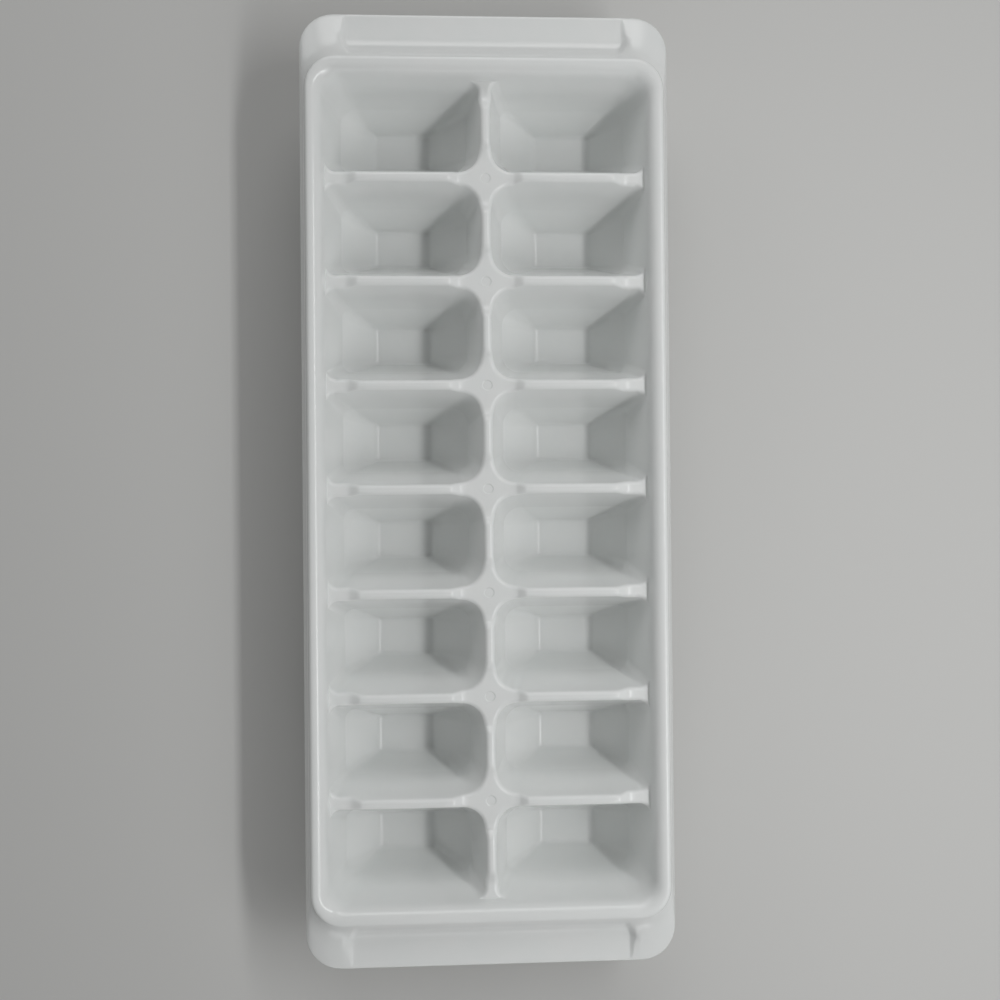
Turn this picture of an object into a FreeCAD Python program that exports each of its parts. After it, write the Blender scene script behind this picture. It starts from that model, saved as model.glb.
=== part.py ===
import FreeCAD, Part
import math
import os

os.makedirs("parts", exist_ok=True)

Vec = FreeCAD.Vector

# Twist-type ice cube tray, one thin moulded skin, lying on its cup floors at z = 0.
# X runs across the two columns, Y along the rows, Z up out of the cells. Millimetres.
# The skin is divided into the areas a person would name: cups, dividers, pads, spines,
# rim and end ledges. They meet face to face and never overlap.

# Cell grid
rows = 8
row_pitch = 34.0
column_pitch = 54.4
divider_width = 4.0
spine_width = 3.8

# Skin
wall = 1.4
floor_wall = 1.5
deck_wall = 1.5

# Shares of the wall: round a cup's foot, how far its outer waist and the rim's slope lie lower
foot_wall_share = 0.6
waist_drop_share = 0.35
slope_drop_share = 0.75

# Cell hollow, from the floor up to the deck. The floor lies a little outboard of the mouth.
floor_length = 19.4
floor_breadth = 12.4
floor_corner = 1.0
floor_round = 0.8
floor_shift = 0.8
waist_rise = 14.0
waist_corner = 6.5
upper_rise = 17.0
upper_draft = 13.5
mouth_corner = 7.0

# Tighter cell corners, where a divider or the spine runs into the rim
junction_corner = 3.0
junction_waist_corner = 5.0

# Raised bars on the dividers
bar_base_length = 37.6
bar_top_length = 29.4
bar_base_width = 3.8
bar_top_width = 2.9
bar_rise = 2.5
bar_edge_round = 1.0

# Raised bars on the spine between the two columns
spine_bar_gap = 7.8
spine_bar_slope = 4.0
spine_bar_base_width = 3.6
spine_bar_top_width = 2.7

# Crossing pads and the round pin mark in each
pad_length = 15.0
pad_breadth = 13.0
pin_mark_radius = 1.6
pin_mark_depth = 0.3

# Rim bead. The rim's inner wall goes straight on from the outer cell walls.
rim_rise = 5.5
rim_lean = 1.5
rim_corner = 6.0
bead_width = 5.2
bead_round = 2.2

# Skirt, end ledges and their outer lip
bead_foot_drop = 2.5
skirt_flare = 1.4
ledge_depth = 15.5
lip_rise_above_deck = -1.5
lip_height = 2.5

# Flat thumb panel sunk into each end ledge
panel_floor_length = 91.4
panel_mouth_length = 96.6
panel_corner = 3.0

# Zone borders, measured in from the outer cell edges
core_inset = 0.9

# How far cutting forms run past what they cut, and how closely edges are told apart by height
overrun = 1.0
panel_overrun = 10.0
edge_tolerance = 0.01

# Heights that follow
floor_top = floor_wall
waist_z = floor_top + waist_rise
deck_top = waist_z + upper_rise
deck_bottom = deck_top - deck_wall
bead_top = deck_top + rim_rise
bead_foot = bead_top - bead_foot_drop
lip_top = deck_top + lip_rise_above_deck
lip_bottom = lip_top - lip_height

# Plan sizes that follow
mouth_half_x = (column_pitch - spine_width) / 2
mouth_half_y = (row_pitch - divider_width) / 2
draft_slope = math.tan(math.radians(upper_draft))
cells_half_x = column_pitch / 2 + mouth_half_x
cells_half_y = (rows - 1) * row_pitch / 2 + mouth_half_y
bead_in_x = cells_half_x + rim_lean
bead_in_y = cells_half_y + rim_lean
bead_out_x = bead_in_x + bead_width
bead_out_y = bead_in_y + bead_width
bead_out_corner = rim_corner + bead_width
lip_x = bead_out_x + skirt_flare
lip_y = bead_out_y + ledge_depth
core_half_x = cells_half_x - core_inset
core_half_y = cells_half_y - core_inset
side_half_y = bead_out_y - bead_out_corner
reach = 2 * lip_y


def row_y(row):
    return ((rows + 1) / 2 - row) * row_pitch


def crossing_y(number):
    return row_y(number) - row_pitch / 2


# Rounded rectangle. Its corner is one radius, or four, turning left from the far right one.
def outline(half_x, half_y, corner, z, centre_x=0.0, centre_y=0.0):
    corners = corner if isinstance(corner, tuple) else (corner,) * 4
    edges = []
    for quarter, corner in enumerate(corners):
        turn = math.radians(90 * quarter)
        sign_x = 1 if quarter in (0, 3) else -1
        sign_y = 1 if quarter in (0, 1) else -1
        hub = Vec(centre_x + sign_x * (half_x - corner), centre_y + sign_y * (half_y - corner), z)
        points = []
        for part in (0, 0.5, 1):
            angle = turn + part * math.pi / 2
            points.append(hub + Vec(math.cos(angle), math.sin(angle), 0) * corner)
        edges.append(Part.Arc(*points).toShape())
    ring = []
    for quarter in range(4):
        here = edges[quarter]
        following = edges[(quarter + 1) % 4]
        ring.append(here)
        ring.append(Part.makeLine(here.lastVertex().Point, following.firstVertex().Point))
    return Part.Wire(ring)


def form(sections):
    return Part.makeLoft([outline(*section) for section in sections], True, True)


def block(x_low, x_high, y_low, y_high, z_low, z_high):
    size = (x_high - x_low, y_high - y_low, z_high - z_low)
    return Part.makeBox(*size, Vec(x_low, y_low, z_low))


# Which corners of a right-hand cell are the tight ones
tight_corners = {
    "head": (False, True, False, True),
    "middle": (True, False, False, True),
    "foot": (True, False, True, False),
}


def mouth_at(kind, z, grow):
    shrink = (deck_top - z) * draft_slope
    blend = (deck_top - z) / upper_rise
    corners = []
    for tight in tight_corners[kind]:
        top = junction_corner if tight else mouth_corner
        waist = junction_waist_corner if tight else waist_corner
        corners.append(top + (waist - top) * blend + grow)
    return (mouth_half_x - shrink + grow, mouth_half_y - shrink + grow, tuple(corners), z)


def round_lowest(shape, radius):
    low = shape.BoundBox.ZMin
    edges = [edge for edge in shape.Edges if edge.BoundBox.ZMax < low + edge_tolerance]
    return shape.makeFillet(radius, edges)


# Hollow of one right-hand cell, about the origin, from its floor up to the deck
def cell_hollow(kind):
    hollow = form([
        (floor_length / 2, floor_breadth / 2, floor_corner, floor_top, floor_shift),
        mouth_at(kind, waist_z, 0),
        mouth_at(kind, deck_top, 0),
    ])
    return round_lowest(hollow, floor_round)


# Outer side of the cup's skin, from the table up to the deck's underside
def cup_outside(kind):
    grow = foot_wall_share * wall
    foot = (floor_length / 2 + grow, floor_breadth / 2 + grow, floor_corner + grow, 0, floor_shift)
    waist = mouth_at(kind, waist_z, wall)[:3] + (waist_z - waist_drop_share * wall,)
    cup = form([foot, waist, mouth_at(kind, deck_bottom, wall)])
    return round_lowest(cup, floor_round + grow)


nodes = {}
sides = {"left": -1, "right": 1}
half_turn = (Vec(0, 0, 0), Vec(0, 0, 1), 180)
hollow_forms = {kind: cell_hollow(kind) for kind in tight_corners}
cup_forms = {kind: cup_outside(kind).cut(hollow_forms[kind]) for kind in tight_corners}
hollows = []

# The left-hand column is the right-hand one turned half round
for side, sign in sides.items():
    for row in range(1, rows + 1):
        twin_row = row if sign > 0 else rows + 1 - row
        kind = {1: "head", rows: "foot"}.get(twin_row, "middle")
        place = Vec(column_pitch / 2, row_y(twin_row), 0)
        cup = cup_forms[kind].translated(place)
        hollow = hollow_forms[kind].translated(place)
        if sign < 0:
            cup = cup.rotated(*half_turn)
            hollow = hollow.rotated(*half_turn)
        nodes[f"cup_{side}_{row}"] = cup
        hollows.append(hollow)


def near_hollows(y_low, y_high, side_sign=0):
    found = []
    for shape in hollows:
        box = shape.BoundBox
        clear = box.YMax < y_low or box.YMin > y_high
        if not clear and box.Center.x * side_sign >= 0:
            found.append(shape)
    return found


def raised_bar(half_base, half_top, width_base, width_top):
    rings = []
    for half, width, z in ((half_base, width_base, deck_top), (half_top, width_top, bar_top)):
        corners = [(-half, -width / 2), (half, -width / 2), (half, width / 2), (-half, width / 2)]
        points = [Vec(x, y, z) for x, y in corners]
        rings.append(Part.makePolygon(points + points[:1]))
    bar = Part.makeLoft(rings, True, True)
    crest = [edge for edge in bar.Edges if edge.BoundBox.ZMin > deck_top + edge_tolerance]
    return bar.makeFillet(bar_edge_round, crest)


bar_top = deck_top + bar_rise

# Dividers between the cells of one column, each with its raised bar
bar = raised_bar(bar_base_length / 2, bar_top_length / 2, bar_base_width, bar_top_width)
for side, sign in sides.items():
    for number in range(1, rows):
        y = crossing_y(number)
        ends = sorted((sign * pad_length / 2, sign * core_half_x))
        web = block(ends[0], ends[1], y - row_pitch / 2, y + row_pitch / 2, deck_bottom, deck_top)
        web = web.cut(near_hollows(y - row_pitch / 2, y + row_pitch / 2, sign))
        web = web.fuse(bar.translated(Vec(sign * column_pitch / 2, y, 0)))
        nodes[f"divider_{side}_{number}"] = web.removeSplitter()

# Flat pads where the dividers cross the spine
for number in range(1, rows):
    y = crossing_y(number)
    pad = block(-pad_length / 2, pad_length / 2, y - pad_breadth / 2, y + pad_breadth / 2,
                deck_bottom, deck_top)
    mark = Part.makeCylinder(pin_mark_radius, pin_mark_depth, Vec(0, y, deck_top - pin_mark_depth))
    nodes[f"pad_{number}"] = pad.cut(near_hollows(y - pad_breadth, y + pad_breadth) + [mark])

# Spine between the two columns, one length per row, each with its raised bar
spine_half = row_pitch / 2 - spine_bar_gap
spine_bar = raised_bar(spine_half, spine_half - spine_bar_slope, spine_bar_base_width,
                       spine_bar_top_width)
spine_bar.rotate(Vec(0, 0, 0), Vec(0, 0, 1), 90)
for row in range(1, rows + 1):
    y = row_y(row)
    y_high = core_half_y if row == 1 else y + row_pitch / 2 - pad_breadth / 2
    y_low = -core_half_y if row == rows else y - row_pitch / 2 + pad_breadth / 2
    spine = block(-pad_length / 2, pad_length / 2, y_low, y_high, deck_bottom, deck_top)
    spine = spine.cut(near_hollows(y_low, y_high))
    spine = spine.fuse(spine_bar.translated(Vec(0, y, 0)))
    nodes[f"spine_{row}"] = spine.removeSplitter()

# Rim, skirt and end ledges, formed together as one skin round the cells
full = form([
    (lip_x, lip_y, bead_out_corner, lip_bottom),
    (lip_x, lip_y, bead_out_corner, lip_top),
    (bead_out_x, bead_out_y, bead_out_corner, bead_foot),
    (bead_out_x, bead_out_y, bead_out_corner, bead_top),
])
cavity = form([
    (cells_half_x, cells_half_y, mouth_corner, deck_top),
    (bead_in_x, bead_in_y, rim_corner, bead_top),
])
ring = full.cut(cavity)
crown = [edge for edge in ring.Edges if edge.BoundBox.ZMin > bead_top - edge_tolerance]
ring = ring.makeFillet(bead_round, crown)

slope_drop = slope_drop_share * wall
under_full = form([
    (lip_x - wall, lip_y - wall, bead_out_corner - wall, lip_bottom - overrun),
    (lip_x - wall, lip_y - wall, bead_out_corner - wall, lip_top - slope_drop),
    (bead_out_x - wall, bead_out_y - wall, bead_out_corner - wall, bead_foot - slope_drop),
    (bead_out_x - wall, bead_out_y - wall, bead_out_corner - wall, bead_top - wall),
])
under_cavity = form([
    (cells_half_x + wall, cells_half_y + wall, mouth_corner + wall, deck_bottom),
    (bead_in_x + wall, bead_in_y + wall, rim_corner + wall, bead_top + overrun),
])


def panel_form(grow, z_low):
    far = lip_y + panel_overrun
    sections = []
    for half, z in ((panel_floor_length / 2, z_low), (panel_mouth_length / 2, bead_foot)):
        near = bead_out_y - grow
        sections.append((half + grow, (far - near) / 2, panel_corner + grow, z, 0, (far + near) / 2))
    return form(sections)


panel = panel_form(0, lip_top)
under_panel = panel_form(wall, lip_top - wall)
panels = [panel, panel.rotated(*half_turn)]
under_panels = [under_panel, under_panel.rotated(*half_turn)]

hollow_under = under_full.cut([under_cavity] + under_panels)
core = block(-core_half_x, core_half_x, -core_half_y, core_half_y, 0, bead_top)
skin = ring.cut(panels + [hollow_under, core] + hollows)

# Straight sides of the rim: its inner wall with the bead, then the skirt that hangs from it
for side, sign in sides.items():
    borders = (core_half_x, bead_out_x - wall, reach)
    for name, near, far in (("rim", *borders[:2]), ("skirt", *borders[1:])):
        ends = sorted((sign * near, sign * far))
        zone = block(ends[0], ends[1], -side_half_y, side_half_y, 0, 2 * bead_top)
        nodes[f"{name}_{side}"] = skin.common(zone)

# Ends of the rim, with its corners, and the ledge outside each
bead_plan = outline(bead_out_x, bead_out_y, bead_out_corner, 0)
bead_prism = Part.Face(bead_plan).extrude(Vec(0, 0, 2 * bead_top))
for end, sign in {"head": 1, "foot": -1}.items():
    ends = sorted((sign * side_half_y, sign * reach))
    zone = block(-reach, reach, ends[0], ends[1], 0, 2 * bead_top)
    whole_end = skin.common(zone)
    nodes[f"rim_{end}"] = whole_end.common(bead_prism)
    nodes[f"ledge_{end}"] = whole_end.cut(bead_prism)

for name, shape in nodes.items():
    if len(shape.Solids) != 1:
        print("check", name, "solids", len(shape.Solids))
    shape.exportStep(f"parts/{name}.step")

print(len(nodes), "nodes")
print("length", 2 * lip_y, "width", 2 * lip_x, "height", bead_top)
print("volume", sum(shape.Volume for shape in nodes.values()))
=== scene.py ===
import math
import bpy
import numpy as np
from mathutils import Matrix


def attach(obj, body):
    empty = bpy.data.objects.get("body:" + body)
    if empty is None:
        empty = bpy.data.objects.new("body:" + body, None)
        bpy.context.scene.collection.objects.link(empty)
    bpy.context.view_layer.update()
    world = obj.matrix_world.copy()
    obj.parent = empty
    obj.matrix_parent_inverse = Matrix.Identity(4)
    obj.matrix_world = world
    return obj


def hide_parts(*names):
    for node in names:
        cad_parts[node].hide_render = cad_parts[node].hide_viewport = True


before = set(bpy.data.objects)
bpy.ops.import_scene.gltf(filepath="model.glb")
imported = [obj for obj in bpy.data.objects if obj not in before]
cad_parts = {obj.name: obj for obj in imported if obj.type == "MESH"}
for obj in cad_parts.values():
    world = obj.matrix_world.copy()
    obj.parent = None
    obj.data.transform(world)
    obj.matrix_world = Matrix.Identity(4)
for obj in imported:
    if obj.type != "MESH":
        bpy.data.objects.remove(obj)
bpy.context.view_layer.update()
print("stage: frame loaded,", len(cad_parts), "nodes")

toMetres = 0.001  # the tray's sizes are in millimetres

# Cell grid and one cell of the right-hand column. X is local to the cell, outward positive.
# The three sizes are half length, half breadth, plan corner, and plan corner beside the rim.
cell = {
    "rows": 8,
    "rowPitch": 34.0,
    "columnPitch": 54.4,
    "mouth": (25.3, 15.0, 7.0, 3.0),
    "waist": (21.22, 10.92, 6.0, 3.6),
    "floor": (9.7, 6.2, 1.0, 1.0),
    "floorShift": 0.8,               # the floor lies a little outboard of the mouth
    "floorZ": 1.5,
    "waistZ": 15.5,
    "deckZ": 32.5,
    "underZ": 31.0,
    "wall": 1.4,
    "floorFillet": 1.2,
    "waistFillet": 0.5,
    "crestRound": 1.35,
    "crestRoom": 0.92,               # the most of a web's half width that the rounding may take
    "wallLean": 13.5,                # degrees, of the upper walls
    "webHalf": 2.6,                  # this near to the line between two cells is on a web
}

# Raised bars: half length of the top and of the base, on the dividers (along X) and on the
# spine between the columns (along Y)
bars = {
    "rise": 2.5,
    "divider": (14.7, 18.8),
    "spine": (5.2, 9.2),
    "softness": 0.45,                # 0 is a straight end ramp, 1 a fully eased one
}

# How finely a cell's outline is divided, side by side. The corner by the rim is tighter, so
# the straight part is longer on that side.
acrossDivider = [-18.3, -17.4, -16.5, -15.6, -14.6, -12.0, -9.0, -6.0, -3.0, 0.0, 3.0, 6.0,
                 9.0, 12.0, 14.4, 15.4, 16.3, 17.2, 18.1, 19.2, 20.7, 22.3]
acrossEnd = [-22.3, -20.3, -18.3, -15.3, -12.3, -9.3, -6.3, -3.3, -0.3, 2.7, 5.7, 8.8, 10.6,
             12.0, 13.3, 14.3, 15.3, 16.3, 17.3, 18.3]
alongRim = [-12.0, -9.0, -6.0, -3.0, 0.0, 3.0, 6.0, 9.0, 12.0]
alongSpine = [-8.0, -7.3, -6.5, -5.7, -4.8, -2.4, 0.0, 2.4, 4.8, 5.7, 6.5, 7.3, 8.0]
spineToEnd = [9.4, 10.8, 12.0]       # and on, where the spine runs up to the tray's end
rimToEnd = 8.0                       # the rim side stops here, at the tray's own round corner
cornerSteps = 8

# Which corners are the tight ones, turning left from the far right one, for the cell at the
# head (1), at the foot (-1) and between (0)
tightCorners = {1: (False, True, False, True), 0: (True, False, False, True),
                -1: (True, False, True, False)}

# A size row is half length, half breadth, corner, corner by the rim, and shift in X. Growth
# leaves the shift alone.
growth = np.array([1.0, 1.0, 1.0, 1.0, 0.0])


def stretch(samples, low, high):
    share = (np.array(samples) - samples[0]) / (samples[-1] - samples[0])
    return low + (high - low) * share


def sideSamples(end):
    # the right, far, left and near side of a cell's outline
    rimSide, spineSide = alongRim, alongSpine
    if end == 1:
        rimSide = stretch(alongRim, alongRim[0], rimToEnd)
        spineSide = alongSpine + spineToEnd
    elif end == -1:
        rimSide = stretch(alongRim, -rimToEnd, alongRim[-1])
        spineSide = [-y for y in reversed(spineToEnd)] + alongSpine
    far = acrossEnd if end == 1 else acrossDivider
    near = acrossEnd if end == -1 else acrossDivider
    return rimSide, far, spineSide, near


def ringPoints(size, end):
    # counter-clockwise outline of a rounded rectangle, always with the same number of points
    halfX, halfY, shift = size[0], size[1], size[4]
    corners = [size[3] if tight else size[2] for tight in tightCorners[end]]
    rimSide, far, spineSide, near = sideSamples(end)
    sides = [
        [(halfX, y) for y in stretch(rimSide, corners[3] - halfY, halfY - corners[0])],
        [(x, halfY) for x in stretch(far, corners[1] - halfX, halfX - corners[0])[::-1]],
        [(-halfX, y) for y in stretch(spineSide, corners[2] - halfY, halfY - corners[1])[::-1]],
        [(x, -halfY) for x in stretch(near, corners[2] - halfX, halfX - corners[3])],
    ]
    points = []
    for quarter, (side, corner) in enumerate(zip(sides, corners)):
        points += side
        hubX = (halfX - corner) * (1 if quarter in (0, 3) else -1)
        hubY = (halfY - corner) * (1 if quarter in (0, 1) else -1)
        for step in range(1, cornerSteps):
            angle = math.radians(90) * (quarter + step / cornerSteps)
            points.append((hubX + corner * math.cos(angle), hubY + corner * math.sin(angle)))
    return np.array(points) + np.array([shift, 0.0])


def levelRing(size, z, end):
    flat = ringPoints(size, end)
    return np.column_stack([flat, np.full(len(flat), z)])


def wallSize(z, grow=0.0):
    # size row of the cell's wall at height z; the walls go on above the deck
    floorSize = np.array(cell["floor"] + (cell["floorShift"],))
    waist = np.array(cell["waist"] + (0.0,))
    mouth = np.array(cell["mouth"] + (0.0,))
    floorZ, waistZ, deckZ = cell["floorZ"], cell["waistZ"], cell["deckZ"]
    if z < waistZ:
        size = floorSize + (waist - floorSize) * (z - floorZ) / (waistZ - floorZ)
    elif z <= deckZ:
        size = waist + (mouth - waist) * (z - waistZ) / (deckZ - waistZ)
    else:
        lean = (mouth[0] - waist[0]) / (deckZ - waistZ)
        size = mouth + growth * lean * (z - deckZ)
    return size + growth * grow


def wallAt(heights, end):
    # where the wall stands at each outline point, given one height for each
    found = np.zeros((len(heights), 2))
    for z in np.unique(np.round(heights, 5)):
        pick = np.abs(heights - z) < 1e-4
        found[pick] = ringPoints(wallSize(z), end)[pick]
    return found


def barRise(along, bar):
    # how far a bar stands over the deck, with its ends ramping down
    topHalf, baseHalf = bars[bar]
    share = np.clip((baseHalf - np.abs(along)) / (baseHalf - topHalf), 0.0, 1.0)
    smooth = share * share * (3 - 2 * share)
    return bars["rise"] * (share + (smooth - share) * bars["softness"])


def crestHeights(points, end):
    # height of the deck, or of the bar on it, at points round a cell
    onDivider = np.zeros(len(points), bool)
    for side in (1, -1):
        if side != end:
            onDivider |= np.abs(points[:, 1] - side * cell["rowPitch"] / 2) < cell["webHalf"]
    onSpine = np.abs(points[:, 0] + cell["columnPitch"] / 2) < cell["webHalf"]
    rise = np.where(onDivider, barRise(points[:, 0], "divider"), 0.0)
    rise = np.where(onSpine, np.maximum(rise, barRise(points[:, 1], "spine")), rise)
    return cell["deckZ"] + rise


def bend(first, middle, last, share):
    return (1 - share) ** 2 * first + 2 * share * (1 - share) * middle + share ** 2 * last


def cellBorder(end, size):
    # where each outline point's section ends: midway to the neighbour cells, or on the outline
    # itself where the rim begins
    outX, inX = size[0], -cell["columnPitch"] / 2
    highY = size[1] if end == 1 else cell["rowPitch"] / 2
    lowY = -size[1] if end == -1 else -cell["rowPitch"] / 2
    half = cornerSteps // 2
    outline = ringPoints(size, end)
    rimSide, far, spineSide, near = sideSamples(end)
    points = []

    def leg(start, knee, stop):
        steps = []
        for step in range(1, cornerSteps):
            first, last = (start, knee) if step <= half else (knee, stop)
            share = step / half if step <= half else step / half - 1
            steps.append((first[0] + (last[0] - first[0]) * share,
                          first[1] + (last[1] - first[1]) * share))
        return steps

    def followRim():
        return [tuple(outline[len(points) + step]) for step in range(cornerSteps - 1)]

    points += [(outX, y) for y in rimSide]
    points += followRim() if end == 1 else leg((outX, rimSide[-1]), (outX, highY), (far[-1], highY))
    points += [(x, highY) for x in reversed(far)]
    points += leg((far[0], highY), (inX, highY), (inX, spineSide[-1]))
    points += [(inX, y) for y in reversed(spineSide)]
    points += leg((inX, spineSide[0]), (inX, lowY), (near[0], lowY))
    points += [(x, lowY) for x in near]
    points += followRim() if end == -1 else leg((near[-1], lowY), (outX, lowY), (outX, rimSide[0]))
    return np.array(points)


def floorRings(end):
    # flat floor, its fillet, the lower wall and the crease at the waist
    floorZ, waistZ, fillet = cell["floorZ"], cell["waistZ"], cell["floorFillet"]
    edge = wallSize(floorZ)
    flat = edge - fillet * np.array([1.0, 1.0, 0.55, 0.55, 0.0])
    filletTop = floorZ + fillet
    rings = [levelRing(flat * np.array([0.6, 0.6, 0.6, 0.6, 1.0]), floorZ, end),
             levelRing(flat - np.array([0.4, 0.4, 0.1, 0.1, 0.0]), floorZ, end)]
    for share in (0.0, 0.22, 0.45, 0.68, 1.0):
        z = bend(floorZ, floorZ, filletTop, share)
        rings.append(levelRing(bend(flat, edge, wallSize(filletTop), share), z, end))
    low, high = waistZ - cell["waistFillet"], waistZ + cell["waistFillet"]
    for share in (0.04, 0.5, 0.96):
        z = filletTop + (low - filletTop) * share
        rings.append(levelRing(wallSize(z), z, end))
    for share in (0.0, 0.33, 0.67, 1.0):
        size = bend(wallSize(low), wallSize(waistZ), wallSize(high), share)
        rings.append(levelRing(size, bend(low, waistZ, high, share), end))
    return rings


def crestRings(end):
    # upper wall, rounded crest, and the top of the web out to the border
    mouth = wallSize(cell["deckZ"])
    border = cellBorder(end, mouth)
    edgeZ = crestHeights(ringPoints(mouth, end), end)
    room = np.linalg.norm(border - wallAt(edgeZ, end), axis=1)
    rounding = np.minimum(cell["crestRound"], cell["crestRoom"] * room)
    low, wallTopZ = cell["waistZ"] + cell["waistFillet"], edgeZ - rounding
    rings = []
    for share in (0.05, 0.35, 0.65, 0.92, 1.0):
        heights = low + (wallTopZ - low) * share
        rings.append(np.column_stack([wallAt(heights, end), heights]))

    wallTop = wallAt(wallTopZ, end)
    away = border - wallTop
    distance = np.maximum(np.linalg.norm(away, axis=1), 1e-9)
    away = away / distance[:, None]
    reach = np.minimum(rounding, distance)
    lean = math.radians(cell["wallLean"])
    for share in (0.25, 0.5, 0.75, 1.0):
        angle = lean + (math.pi / 2 - lean) * share
        along = reach * (math.cos(lean) - math.cos(angle)) / math.cos(lean)
        drop = rounding * (1 - math.sin(angle)) / (1 - math.sin(lean))
        rings.append(np.column_stack([wallTop + away * along[:, None], edgeZ - drop]))

    last, outermost = rings[-1], np.column_stack([border, crestHeights(border, end)])
    for share in (0.12, 0.45, 1.0):
        rings.append(last + (outermost - last) * share)
    return rings


# The cup from below: how much thicker the lower wall is than the upper, the rings' heights, and
# its foot, as growth past the floor's outline with the height there
cupUnder = {
    "thicker": 1.12,
    "heights": (cell["underZ"] - 0.5, 24.0, cell["waistZ"] + 0.6, cell["waistZ"] - 0.4,
                cell["waistZ"] - 1.6, 8.0),
    "footGrowth": 0.84,
    "foot": ((0.9, 1.6), (0.35, 0.55), (-0.2, 0.12), (-1.0, 0.0), (-3.2, 0.0)),
    "leastCorner": 0.5,
}


def underRings(end):
    # outer side of the cup, from the deck's underside down to its foot
    underZ, wall = cell["underZ"], cell["wall"]
    deckSize = wallSize(underZ, wall)
    border = cellBorder(end, deckSize)
    rings = [np.column_stack([border, np.full(len(border), underZ)]),
             levelRing(deckSize, underZ, end)]
    for z in cupUnder["heights"]:
        thickness = wall * (1.0 if z > cell["waistZ"] else cupUnder["thicker"])
        rings.append(levelRing(wallSize(z, thickness), z, end))
    foot = wallSize(cell["floorZ"], cupUnder["footGrowth"])
    for grow, z in cupUnder["foot"]:
        size = foot + grow * np.array([1.0, 1.0, 0.4, 0.4, 0.0])
        size[2:4] = np.maximum(size[2:4], cupUnder["leastCorner"])
        rings.append(levelRing(size, z, end))
    return rings


def sheetMesh(name, sheets):
    # each sheet is a list of rings, ordered so that the faces point outwards
    points, faces = [], []
    for rings, closeFirst, closeLast in sheets:
        first = len(points)
        count = len(rings[0])
        for ring in rings:
            points += [tuple(point) for point in ring * toMetres]
        for level in range(len(rings) - 1):
            for k in range(count):
                here, after = first + level * count + k, first + level * count + (k + 1) % count
                faces.append((here, here + count, after + count, after))
        if closeFirst:
            points.append(tuple(rings[0].mean(axis=0) * toMetres))
            faces += [(first + k, first + (k + 1) % count, len(points) - 1) for k in range(count)]
        if closeLast:
            start = first + (len(rings) - 1) * count
            points.append(tuple(rings[-1].mean(axis=0) * toMetres))
            faces += [(start + (k + 1) % count, start + k, len(points) - 1) for k in range(count)]
    mesh = bpy.data.meshes.new(name)
    mesh.from_pydata(points, [], faces)
    mesh.validate()
    return mesh


helpers = {}


def addHelper(name, sheets):
    helpers[name] = bpy.data.objects.new(name, sheetMesh(name, sheets))
    bpy.context.scene.collection.objects.link(helpers[name])


for name, end in (("cellHead", 1), ("cellMiddle", 0), ("cellFoot", -1)):
    addHelper(name, [(floorRings(end) + crestRings(end), True, False),
                     (underRings(end), False, True)])
print("stage: cell forms made")

# Rim, skirt and end ledges, as rings running outward from the cells, over the bead, round the
# lip and back underneath
rim = {
    "border": (52.5, 134.0, 7.0),    # half width, half length and corner where the cells end
    # inner wall and bead: distance out from the cells, height, plan corner, height at the ends
    "bead": [(0.0, 32.5, 7.0, 32.5), (0.12, 33.0, 6.9, 33.0), (0.3, 33.7, 6.8, 33.7),
             (0.55, 34.6, 6.6, 34.6), (0.86, 35.4, 6.5, 35.4), (1.25, 36.15, 6.6, 36.15),
             (1.75, 36.8, 6.7, 36.8), (2.4, 37.4, 6.9, 37.4), (3.1, 37.8, 7.3, 37.8),
             (3.8, 37.97, 7.8, 37.97), (4.4, 38.0, 8.3, 38.0), (4.85, 37.95, 8.7, 38.0),
             (5.2, 37.8, 9.0, 37.95), (5.5, 37.55, 9.3, 37.87), (5.72, 37.2, 9.5, 37.78),
             (5.88, 36.8, 9.7, 37.68)],
    # slope outside the bead: half length, height on the long sides, on the end flanks and over
    # the panel, and how far the panel's ends are drawn in there
    "outer": [(140.25, 36.15, 37.4, 37.35, 2.6), (140.75, 35.6, 36.95, 36.8, 2.5),
              (141.4, 35.4, 36.4, 35.95, 2.4), (142.2, 35.1, 35.8, 34.85, 2.2),
              (143.1, 34.7, 35.25, 33.6, 1.9), (144.1, 34.3, 34.75, 32.5, 1.4),
              (145.2, 33.9, 34.3, 31.65, 0.8), (146.6, 33.5, 33.8, 31.15, 0.3),
              (148.2, 33.1, 33.3, 31.0, 0.0)],
    "foot": 6.35,                    # where the bead ends and that slope begins, from the cells out
    "footCorner": 10.1,
    "skirtTopInset": 0.24,           # from there back to the top of the skirt
    "flankTopZ": 35.5,               # height at which the slope begins, were it straight
    "panelZ": 31.0,
    "lip": (60.6, 156.2),
    "lipCorner": 11.2,
    "lipRound": (0.1, 0.9, 0.25),    # inset on the sides and at the ends, and rise, where it starts
    "lipSpread": 0.5,                # width of the panel's end step at the lip, against the bead's
    "lipBottomZ": 28.5,
    "wall": 1.4,
    # channel under the bead: distance out from the cells, height and plan corner
    "channel": [(4.3, 36.2, 8.2), (3.9, 36.5, 8.0), (3.2, 36.3, 7.8), (2.5, 35.4, 7.8),
                (2.1, 33.8, 7.9), (1.75, cell["underZ"] + 0.3, 8.0), (1.6, cell["underZ"], 8.0)],
    "channelStep": 0.3,              # how far the panel's step is followed in there
    "sideFixed": 110.0,              # up to here the sides' points stay beside the cells' own
}
borderA, borderB, borderCorner = rim["border"]
footA, footB = borderA + rim["foot"], borderB + rim["foot"]

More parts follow.
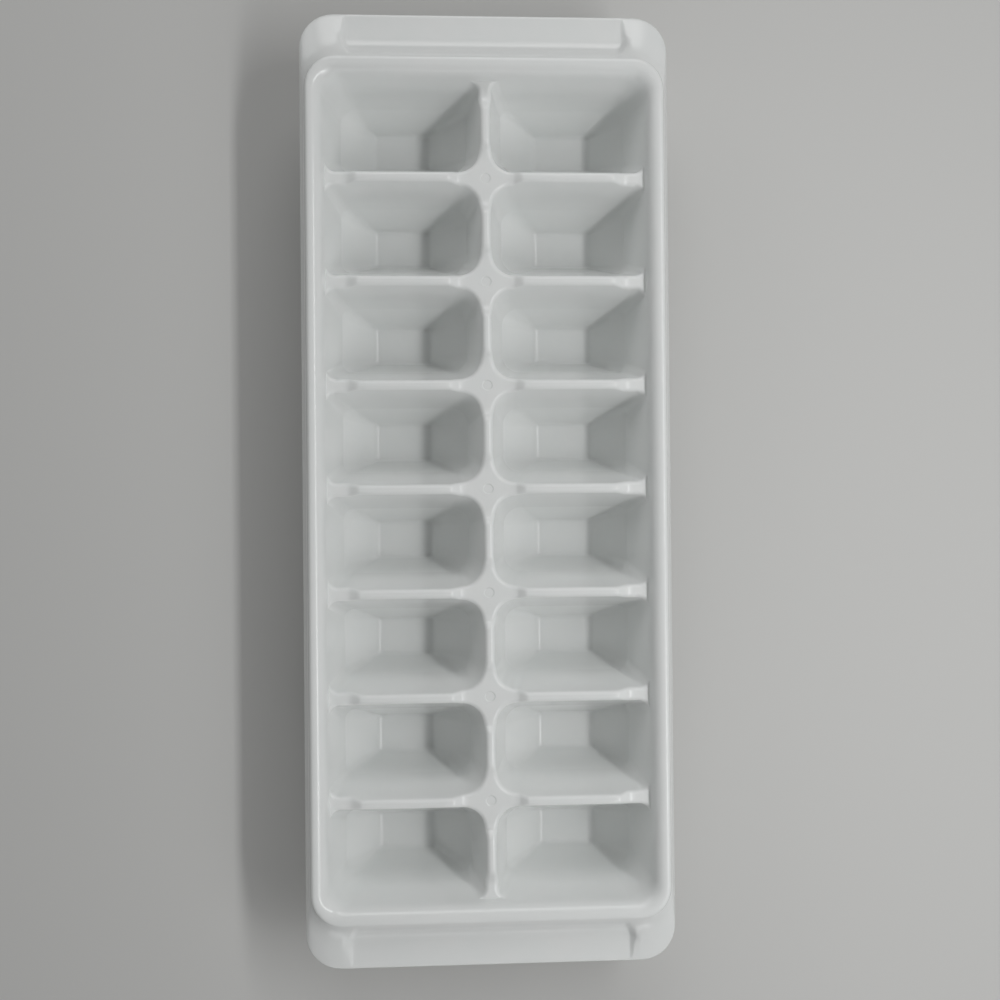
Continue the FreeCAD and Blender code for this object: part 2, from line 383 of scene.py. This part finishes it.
# Along an end: where the border's points move to, so that the step at the sunk thumb panel's
# end has points of its own, and how much of the flank's height each has
stepFrom = [0.0, 36.0, 39.2, 40.5, 41.5, 42.5, 43.5, 44.5, 45.5]
stepTo = [0.0, 37.5, 42.5, 44.3, 45.2, 45.9, 46.9, 47.9]
stepShare = {41.5: 0.0, 42.5: 0.06, 43.5: 0.5, 44.5: 0.94, 45.5: 1.0}
panelEnd = 4                         # which of these points is the end of the panel


def borderSamples():
    # where the cells leave a border point along one long side, and across one end
    pitch, rows, half = cell["rowPitch"], cell["rows"], cornerSteps // 2

    def between(low, high):
        return [low + (high - low) * step / half for step in range(half)]

    found = []
    for row in range(rows, 0, -1):
        rimSide = list(sideSamples({1: 1, rows: -1}.get(row, 0))[0])
        low = [] if row == rows else between(-pitch / 2, rimSide[0])
        high = [] if row == 1 else between(rimSide[-1], pitch / 2)[1:]
        found += [((rows + 1) / 2 - row) * pitch + y for y in low + rimSide + high]
    across = [cell["columnPitch"] / 2 + x for x in reversed(acrossEnd)]
    across += between(across[-1], 0.0)[1:]
    return found, across + [0.0] + [-x for x in reversed(across)]


def perimeter():
    # every point of the cells' outer border, counter-clockwise: which side, arc or end it is on
    side, across = borderSamples()
    arc = [math.radians(90) * step / cornerSteps for step in range(1, cornerSteps)]
    found = []
    for turn in (1, -1):
        found += [("side", turn, turn * y) for y in side]
        found += [("arc", turn, angle) for angle in arc]
        found += [("end", turn, turn * x) for x in across]
        found += [("arc", -turn, math.radians(90) + angle) for angle in arc]
    return found


entries = perimeter()


def arcPoint(index, angle, hubA, hubB, corner):
    # a point on one of the plan corners, and how much it faces sideways and not endways; the
    # second half of the perimeter is turned half round
    angle += math.pi if index > len(entries) / 2 else 0.0
    x = math.copysign(hubA, math.cos(angle)) + corner * math.cos(angle)
    y = math.copysign(hubB, math.sin(angle)) + corner * math.sin(angle)
    return x, y, math.cos(angle) ** 2


def rimRing(a, b, corner, flankZ, panelZ=None, sideZ=None, stepWeight=0.0, drawIn=0.0, spread=1.0):
    # half width, half length and plan corner; height on the end flanks, over the panel and on
    # the long sides; how far the panel's step is followed, how far its ends are drawn in, and
    # how wide the step is
    panelZ = flankZ if panelZ is None else panelZ
    sideZ = flankZ if sideZ is None else sideZ
    flatA, flatB = a - corner, b - corner
    tangentA, tangentB = borderA - borderCorner, borderB - borderCorner
    fixed = rim["sideFixed"]
    ring = []
    for index, (kind, turn, value) in enumerate(entries):
        far = abs(value)
        if kind == "side":
            y = far if far < fixed else fixed + (far - fixed) * (flatB - fixed) / (tangentB - fixed)
            ring.append((turn * a, math.copysign(y, value), sideZ))
        elif kind == "end":
            plainX = far * flatA / tangentA
            stepped = np.interp(far, stepFrom, stepTo + [flatA])
            if stepFrom[panelEnd] < far < tangentA:
                stepped = stepTo[panelEnd] + (stepped - stepTo[panelEnd]) * spread
            if stepFrom[1] < far < tangentA:
                stepped -= drawIn
            x = plainX + (stepped - plainX) * stepWeight
            share = np.interp(far, list(stepShare), list(stepShare.values()))
            ring.append((math.copysign(x, value), turn * b, panelZ + (flankZ - panelZ) * share))
        else:
            x, y, sideShare = arcPoint(index, value, flatA, flatB, corner)
            ring.append((x, y, flankZ + (sideZ - flankZ) * sideShare))
    return np.array(ring)


def outwardCorner(share):
    # plan corner on the way from the bead's foot to the lip
    return rim["footCorner"] + (rim["lipCorner"] - rim["footCorner"]) * share


def stepSpread(share):
    # width of the panel's end step on the same way
    return 1 + (rim["lipSpread"] - 1) * share


def beadRings():
    widest = rim["bead"][-1][0]
    return [rimRing(borderA + out, borderB + out, corner, endZ, sideZ=z, stepWeight=out / widest)
            for out, z, corner, endZ in rim["bead"]]


def outerRings():
    # outside the bead: steeply down the skirt, gently onto the end flanks and the panel
    lipA, lipB = rim["lip"]
    sideInset, endInset, rise = rim["lipRound"]
    top, low = rim["flankTopZ"], rim["panelZ"] + rise
    run = lipB - endInset - footB
    rings = []
    for b, sideZ, flankZ, panelZ, drawIn in rim["outer"]:
        down = (top - sideZ) / (top - low)
        a = footA + (lipA - sideInset - footA) * down if down > 0 else footA - rim["skirtTopInset"]
        corner = outwardCorner(max((b - footB) / run, 0.0))
        rings.append(rimRing(a, b, corner, flankZ, panelZ, sideZ, 1.0, drawIn))
    for share in (0.66, 0.82, 0.94):
        rings.append(rimRing(footA + (lipA - sideInset - footA) * share, footB + run * share,
                             outwardCorner(share), top + (low - top) * share, rim["panelZ"],
                             stepWeight=1.0, spread=stepSpread(share)))
    return rings


def lipRings():
    # round the lip: inset on the sides and at the ends, height on the flanks and over the panel
    lipA, lipB = rim["lip"]
    panelZ, lowZ, wall = rim["panelZ"], rim["lipBottomZ"], rim["wall"]
    sideInset, endInset, rise = rim["lipRound"]
    steps = [
        (sideInset, endInset, panelZ + rise, panelZ),
        (0.04, 0.40, panelZ - 0.02, panelZ - 0.05),
        (0.01, 0.10, panelZ - 0.4, panelZ - 0.4),
        (0.0, 0.0, panelZ - 1.0, panelZ - 1.0),
        (0.0, 0.0, lowZ + 0.45, lowZ + 0.45),
        (0.14, 0.14, lowZ + 0.12, lowZ + 0.12),
        (0.45, 0.45, lowZ, lowZ),
        (1.0, 1.0, lowZ, lowZ),
        (1.35, 1.35, lowZ + 0.2, lowZ + 0.2),
        (wall, wall, lowZ + 0.8, lowZ + 0.8),
    ]
    return [rimRing(lipA - inA, lipB - inB, rim["lipCorner"] - inA, flankZ, sunkZ,
                    stepWeight=1.0, spread=stepSpread(1.0)) for inA, inB, flankZ, sunkZ in steps]


def undersideRings():
    # back underneath, one wall below the flanks and the panel, and up the channel in the bead
    lipA, lipB = rim["lip"]
    top, panelZ, wall = rim["flankTopZ"], rim["panelZ"], rim["wall"]
    rings = []
    for share in (0.99, 0.8, 0.5, 0.2, 0.02):
        rings.append(rimRing(footA + (lipA - footA) * share - wall,
                             footB + (lipB - footB) * share - wall,
                             outwardCorner(share) - wall, top + (panelZ - top) * share - wall,
                             panelZ - wall, stepWeight=1.0, spread=stepSpread(share)))
    for out, z, corner in rim["channel"]:
        rings.append(rimRing(borderA + out, borderB + out, corner, z,
                             stepWeight=rim["channelStep"]))
    return rings


def innermostRing():
    # exactly the border that the undersides of the cells leave
    size = wallSize(cell["underZ"], cell["wall"])
    a = cell["columnPitch"] / 2 + size[0]
    b = (cell["rows"] - 1) * cell["rowPitch"] / 2 + size[1]
    ring = []
    for index, (kind, turn, value) in enumerate(entries):
        x, y = (turn * a, value) if kind == "side" else (value, turn * b)
        if kind == "arc":
            x, y = arcPoint(index, value, a - size[2], b - size[2], size[2])[:2]
        ring.append((x, y, cell["underZ"]))
    return np.array(ring)


addHelper("rimForm", [(beadRings() + outerRings() + lipRings() + undersideRings()
                       + [innermostRing()], False, False)])
print("stage: rim and ledges made")


def linearColour(code):
    # an sRGB hex value as Blender's linear colour
    parts = [int(code[i:i + 2], 16) / 255 for i in (1, 3, 5)]
    linear = [p / 12.92 if p <= 0.04045 else ((p + 0.055) / 1.055) ** 2.4 for p in parts]
    return (*linear, 1.0)


def addNode(tree, kind, settings=None, inputs=None):
    # adds one node; an input given as a socket is linked, anything else is set on it
    node = tree.nodes.new(kind)
    for name, value in (settings or {}).items():
        setattr(node, name, value)
    for name, value in (inputs or {}).items():
        if isinstance(value, bpy.types.NodeSocket):
            tree.links.new(value, node.inputs[name])
        else:
            node.inputs[name].default_value = value
    return node


# Injection-moulded white polypropylene: a milky, slightly see-through plastic with a satin skin
# off a polished mould. Light soaks a millimetre or two into it, so shadows are soft and cool.
plastic = {
    "colour": "#ECEDEC",
    "cool": "#E7EAE9",               # where it is thin or hazed
    "roughness": 0.21,
    "glossRange": (-0.01, 0.015),    # slow change of roughness over the skin
    "ior": 1.49,
    "soakMm": 1.5,                   # how far light travels in the plastic
    "soakWeight": 0.4,
    "mottleMm": 11.0,                # size of the patches of gloss and haze
    "mottleRange": (0.3, 0.7),       # how much of the noise the gloss follows
    "peelMm": 1.1,                   # orange peel of the moulded skin
    "peelDepthMm": 0.01,
    "peelStrength": 0.2,
    "scuffMm": 0.35,                 # width of the fine rub marks from stacking and washing
    "scuffDepthMm": 0.004,
    "scuffStrength": 0.08,
    "scuffRoughness": 0.02,
    "scuffStretch": 20,              # how many times longer than wide they are
    "scuffRange": (0.62, 0.75),      # how much of the noise shows as marks
}

# Round ejector-pin mark in each crossing pad, one every row pitch along the middle
pinMark = {
    "radiusMm": 1.6,
    "edgeMm": 0.22,                  # half width of its soft edge
    "depthMm": 0.18,
    "reachMm": 118.0,                # the last pads lie within this distance of the middle
    "belowDeckMm": 0.6,              # nothing deeper than this is marked
}


def pinHeight(tree, place):
    # 1 inside a mark, 0 outside
    apart = addNode(tree, "ShaderNodeSeparateXYZ", None, {"Vector": place}).outputs
    fromCrossing = addNode(tree, "ShaderNodeMath", {"operation": "PINGPONG"},
                           {0: apart["Y"], 1: cell["rowPitch"] / 2 * toMetres})
    offset = addNode(tree, "ShaderNodeCombineXYZ", None,
                     {"X": apart["X"], "Y": fromCrossing.outputs[0]})
    radius = addNode(tree, "ShaderNodeVectorMath", {"operation": "LENGTH"}, {0: offset.outputs[0]})
    edge, soft = pinMark["radiusMm"] * toMetres, pinMark["edgeMm"] * toMetres
    outside = addNode(tree, "ShaderNodeMapRange", {"interpolation_type": "SMOOTHSTEP"},
                      {"Value": radius.outputs["Value"], "From Min": edge - soft,
                       "From Max": edge + soft})
    sunk = addNode(tree, "ShaderNodeMath", {"operation": "SUBTRACT"},
                   {0: 1.0, 1: outside.outputs[0]})
    padZ = (cell["deckZ"] - pinMark["belowDeckMm"]) * toMetres
    high = addNode(tree, "ShaderNodeMath", {"operation": "GREATER_THAN"}, {0: apart["Z"], 1: padZ})
    along = addNode(tree, "ShaderNodeMath", {"operation": "ABSOLUTE"}, {0: apart["Y"]})
    inside = addNode(tree, "ShaderNodeMath", {"operation": "LESS_THAN"},
                     {0: along.outputs[0], 1: pinMark["reachMm"] * toMetres})
    allowed = addNode(tree, "ShaderNodeMath", {"operation": "MULTIPLY"},
                      {0: high.outputs[0], 1: inside.outputs[0]})
    marked = addNode(tree, "ShaderNodeMath", {"operation": "MULTIPLY"},
                     {0: sunk.outputs[0], 1: allowed.outputs[0]})
    return marked.outputs[0]


def scuffMarks(tree, place):
    # rub marks run mostly along the tray, so the noise is drawn out in Y
    longWay = addNode(tree, "ShaderNodeMapping", None,
                      {"Vector": place, "Scale": (1.0, 1 / plastic["scuffStretch"], 1.0)})
    noise = addNode(tree, "ShaderNodeTexNoise", None,
                    {"Vector": longWay.outputs[0], "Scale": 1 / (plastic["scuffMm"] * toMetres),
                     "Detail": 3.0, "Roughness": 0.7})
    least, most = plastic["scuffRange"]
    lines = addNode(tree, "ShaderNodeMapRange", None,
                    {"Value": noise.outputs["Fac"], "From Min": least, "From Max": most})
    return lines.outputs[0]


def skinNormal(tree, place, scuffs):
    # the orange peel, with the rub marks and then the pin marks sunk into it
    peel = addNode(tree, "ShaderNodeTexNoise", None,
                   {"Vector": place, "Scale": 1 / (plastic["peelMm"] * toMetres), "Detail": 2.0})
    bump = addNode(tree, "ShaderNodeBump", None,
                   {"Strength": plastic["peelStrength"],
                    "Distance": plastic["peelDepthMm"] * toMetres, "Height": peel.outputs["Fac"]})
    for height, depthMm, strength in (
            (scuffs, plastic["scuffDepthMm"], plastic["scuffStrength"]),
            (pinHeight(tree, place), pinMark["depthMm"], 1.0)):
        bump = addNode(tree, "ShaderNodeBump", {"invert": True},
                       {"Strength": strength, "Distance": depthMm * toMetres, "Height": height,
                        "Normal": bump.outputs[0]})
    return bump.outputs[0]


def mouldedPolypropylene():
    material = bpy.data.materials.new("mouldedPolypropylene")
    material.use_nodes = True
    tree = material.node_tree
    tree.nodes.clear()
    place = addNode(tree, "ShaderNodeTexCoord").outputs["Object"]
    scuffs = scuffMarks(tree, place)
    mottle = addNode(tree, "ShaderNodeTexNoise", None,
                     {"Vector": place, "Scale": 1 / (plastic["mottleMm"] * toMetres), "Detail": 3.0,
                      "Roughness": 0.6}).outputs["Fac"]
    least, most = plastic["mottleRange"]
    glossLow, glossHigh = plastic["glossRange"]
    gloss = addNode(tree, "ShaderNodeMapRange", None,
                    {"Value": mottle, "From Min": least, "From Max": most,
                     "To Min": plastic["roughness"] + glossLow,
                     "To Max": plastic["roughness"] + glossHigh})
    rough = addNode(tree, "ShaderNodeMath", {"operation": "MULTIPLY_ADD"},
                    {0: scuffs, 1: plastic["scuffRoughness"], 2: gloss.outputs[0]})
    tint = addNode(tree, "ShaderNodeMix", {"data_type": "RGBA"},
                   {0: mottle, 6: linearColour(plastic["colour"]),
                    7: linearColour(plastic["cool"])})
    normal = skinNormal(tree, place, scuffs)
    skin = addNode(tree, "ShaderNodeBsdfPrincipled", {"subsurface_method": "RANDOM_WALK"},
                   {"Base Color": tint.outputs[2], "Roughness": rough.outputs[0],
                    "IOR": plastic["ior"], "Subsurface Weight": plastic["soakWeight"],
                    "Subsurface Radius": (1.0, 1.0, 1.0),
                    "Subsurface Scale": plastic["soakMm"] * toMetres, "Normal": normal})
    addNode(tree, "ShaderNodeOutputMaterial", None, {"Surface": skin.outputs[0]})
    return material


# The cells are set out by a Geometry Nodes tree: the right-hand column is laid out once from
# its three forms, the left-hand one is the same turned half round, and the rim is joined on.
layout = {
    "Rows": cell["rows"],
    "Pitch": cell["rowPitch"] * toMetres,
    "Column": cell["columnPitch"] / 2 * toMetres,
    "Weld": 0.012 * toMetres,
}


def trayTree(material):
    tree = bpy.data.node_groups.new("trayCells", "GeometryNodeTree")
    kinds = {"Rim": "NodeSocketGeometry", "Rows": "NodeSocketInt", "Pitch": "NodeSocketFloat",
             "Column": "NodeSocketFloat", "Weld": "NodeSocketFloat"}
    for name, kind in kinds.items():
        tree.interface.new_socket(name, in_out="INPUT", socket_type=kind)
    tree.interface.new_socket("Tray", in_out="OUTPUT", socket_type="NodeSocketGeometry")
    given = addNode(tree, "NodeGroupInput").outputs

    # places and counts down a column, each worked out from the tree's inputs or from one above
    values = {"Rows": given["Rows"], "Pitch": given["Pitch"]}
    for name, operation, first, second in (
            ("gaps", "SUBTRACT", "Rows", 1.0),
            ("halfGaps", "MULTIPLY", "gaps", 0.5),
            ("headY", "MULTIPLY", "halfGaps", "Pitch"),
            ("footY", "MULTIPLY", "headY", -1.0),
            ("backwards", "MULTIPLY", "Pitch", -1.0),
            ("secondY", "ADD", "headY", "backwards"),
            ("middleRows", "SUBTRACT", "Rows", 2.0)):
        node = addNode(tree, "ShaderNodeMath", {"operation": operation},
                       {0: values[first], 1: values.get(second, second)})
        values[name] = node.outputs[0]

    def placed(form, y):
        shape = addNode(tree, "GeometryNodeObjectInfo", None, {"Object": helpers[form]})
        spot = addNode(tree, "ShaderNodeCombineXYZ", None, {"X": given["Column"], "Y": y})
        return addNode(tree, "GeometryNodeTransform", None,
                       {"Geometry": shape.outputs["Geometry"], "Translation": spot.outputs[0]})

    start = addNode(tree, "ShaderNodeCombineXYZ", None,
                    {"X": given["Column"], "Y": values["secondY"]})
    step = addNode(tree, "ShaderNodeCombineXYZ", None, {"Y": values["backwards"]})
    line = addNode(tree, "GeometryNodeMeshLine", None,
                   {"Count": values["middleRows"], "Start Location": start.outputs[0],
                    "Offset": step.outputs[0]})
    middle = addNode(tree, "GeometryNodeObjectInfo", None, {"Object": helpers["cellMiddle"]})
    between = addNode(tree, "GeometryNodeInstanceOnPoints", None,
                      {"Points": line.outputs[0], "Instance": middle.outputs["Geometry"]})
    column = addNode(tree, "GeometryNodeJoinGeometry")
    for part in (between, placed("cellHead", values["headY"]),
                 placed("cellFoot", values["footY"])):
        tree.links.new(part.outputs[0], column.inputs[0])
    rightSide = addNode(tree, "GeometryNodeRealizeInstances", None, {0: column.outputs[0]})
    leftSide = addNode(tree, "GeometryNodeTransform", None,
                       {"Geometry": rightSide.outputs[0], "Rotation": (0.0, 0.0, math.pi)})
    whole = addNode(tree, "GeometryNodeJoinGeometry")
    for part in (rightSide.outputs[0], leftSide.outputs[0], given["Rim"]):
        tree.links.new(part, whole.inputs[0])
    welded = addNode(tree, "GeometryNodeMergeByDistance", None,
                     {"Geometry": whole.outputs[0], "Distance": given["Weld"]})
    smooth = addNode(tree, "GeometryNodeSetShadeSmooth", None, {"Geometry": welded.outputs[0]})
    real = addNode(tree, "GeometryNodeRealizeInstances", None, {0: smooth.outputs[0]})
    finish = addNode(tree, "GeometryNodeSetMaterial", None,
                     {"Geometry": real.outputs[0], "Material": material})
    addNode(tree, "NodeGroupOutput", None, {0: finish.outputs[0]})
    return tree


def makeTray():
    material = mouldedPolypropylene()
    tree = trayTree(material)
    modifier = helpers["rimForm"].modifiers.new("cells", "NODES")
    modifier.node_group = tree
    for item in tree.interface.items_tree:
        if item.in_out == "INPUT" and item.name in layout:
            modifier[item.identifier] = layout[item.name]
    bpy.context.view_layer.update()
    evaluated = helpers["rimForm"].evaluated_get(bpy.context.evaluated_depsgraph_get())
    mesh = bpy.data.meshes.new_from_object(evaluated)
    for helper in helpers.values():
        helper.modifiers.clear()
        bpy.data.objects.remove(helper)
    bpy.data.node_groups.remove(tree)
    mesh.name = "moulding"
    mesh.validate()
    mesh.materials.clear()
    mesh.materials.append(material)
    tray = bpy.data.objects.new("moulding", mesh)
    bpy.context.scene.collection.objects.link(tray)
    corners = tray.modifiers.new("flatNormals", "WEIGHTED_NORMAL")  # keeps flats flat by the bends
    corners.mode = "FACE_AREA"
    corners.keep_sharp = True
    return tray


tray = makeTray()
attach(tray, "root")
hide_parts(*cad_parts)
print("stage: tray made,", len(tray.data.polygons), "faces")

# Plain pale floor, wide enough to fill the picture from any side
floor = {
    "half": 4.0,                     # metres
    "colour": "#CFCFCD",
    "roughness": 0.8,
    "stippleMm": 1.5,
    "stippleDepthMm": 0.04,
    "stippleStrength": 0.15,
}


def paintedBoard():
    # matt emulsion on board: even, with a faint roller stipple
    material = bpy.data.materials.new("paintedBoard")
    material.use_nodes = True
    tree = material.node_tree
    tree.nodes.clear()
    place = addNode(tree, "ShaderNodeTexCoord").outputs["Object"]
    stipple = addNode(tree, "ShaderNodeTexNoise", None,
                      {"Vector": place, "Scale": 1 / (floor["stippleMm"] * toMetres),
                       "Detail": 2.0})
    bump = addNode(tree, "ShaderNodeBump", None,
                   {"Strength": floor["stippleStrength"],
                    "Distance": floor["stippleDepthMm"] * toMetres,
                    "Height": stipple.outputs["Fac"]})
    paint = addNode(tree, "ShaderNodeBsdfPrincipled", None,
                    {"Base Color": linearColour(floor["colour"]), "Roughness": floor["roughness"],
                     "Normal": bump.outputs[0]})
    addNode(tree, "ShaderNodeOutputMaterial", None, {"Surface": paint.outputs[0]})
    return material


def makeFloor():
    half = floor["half"]
    mesh = bpy.data.meshes.new("floorPlane")
    mesh.from_pydata([(-half, -half, 0), (half, -half, 0), (half, half, 0), (-half, half, 0)], [],
                     [(0, 1, 2, 3)])
    mesh.materials.append(paintedBoard())
    plane = bpy.data.objects.new("floorPlane", mesh)
    bpy.context.scene.collection.objects.link(plane)
    return plane


floorPlane = makeFloor()

# Soft lamps round the tray, most light from the right and the head, and a faint even surround.
# Turn and height are the direction of each lamp in degrees, distance and size are in metres and
# power in watts. The strip over the right-hand side is long and narrow, for the thin bright
# lines along the floors' edges. The low lamp at the foot lights the bead's outer side there.
lamps = {
    "strip": {"turn": 0, "height": 60, "distance": 0.5, "size": (0.5, 0.03), "power": 0.88},
    "footRight": {"turn": -40, "height": 45, "distance": 0.7, "size": (0.3, 0.3), "power": 0.58},
    "head": {"turn": 90, "height": 35, "distance": 1.2, "size": (0.8, 0.5), "power": 3.0},
    "headLeft": {"turn": 135, "height": 25, "distance": 1.2, "size": (0.7, 0.5), "power": 1.1},
    "foot": {"turn": -90, "height": 45, "distance": 1.2, "size": (0.7, 0.5), "power": 0.35},
    "footLow": {"turn": -90, "height": 16, "distance": 1.2, "size": (0.9, 0.3), "power": 1.5},
}
surround = 0.14


def addLamp(name, settings):
    data = bpy.data.lights.new(name, "AREA")
    data.shape = "RECTANGLE"
    data.size, data.size_y = settings["size"]
    data.energy = settings["power"]
    lamp = bpy.data.objects.new(name, data)
    turn, height = math.radians(settings["turn"]), math.radians(settings["height"])
    away = (math.cos(height) * math.cos(turn), math.cos(height) * math.sin(turn), math.sin(height))
    lamp.location = np.array(away) * settings["distance"]
    lamp.rotation_euler = (-lamp.location).to_track_quat("-Z", "Y").to_euler()
    bpy.context.scene.collection.objects.link(lamp)


def addSurround():
    world = bpy.data.worlds.new("surround")
    bpy.context.scene.world = world
    world.use_nodes = True
    background = world.node_tree.nodes["Background"]
    background.inputs["Color"].default_value = (1.0, 1.0, 1.0, 1.0)
    background.inputs["Strength"].default_value = surround


for name, settings in lamps.items():
    addLamp(name, settings)
addSurround()

# Camera as found from the photograph's cell grid, close above the middle and hardly turned:
# place in metres, turns in radians about Y, X and Z, and focal length over sensor width
view = {
    "place": (-0.017049, -0.006167, 0.417002),
    "turns": {"Y": -0.05419, "X": 0.00646, "Z": -0.00932},
    "focal": 1.174576,
    "sensor": 36.0,
}


def addCamera():
    data = bpy.data.cameras.new("photoCamera")
    data.sensor_width = view["sensor"]
    data.sensor_fit = "HORIZONTAL"
    data.lens = view["sensor"] * view["focal"]
    data.clip_start = 0.01
    turned = Matrix.Identity(4)
    for axis, angle in view["turns"].items():
        turned = turned @ Matrix.Rotation(angle, 4, axis)
    camera = bpy.data.objects.new("photoCamera", data)
    camera.matrix_world = Matrix.Translation(view["place"]) @ turned
    bpy.context.scene.collection.objects.link(camera)
    bpy.context.scene.camera = camera


addCamera()
bpy.context.scene.view_settings.view_transform = "Standard"
print("stage: floor, lamps and camera set")
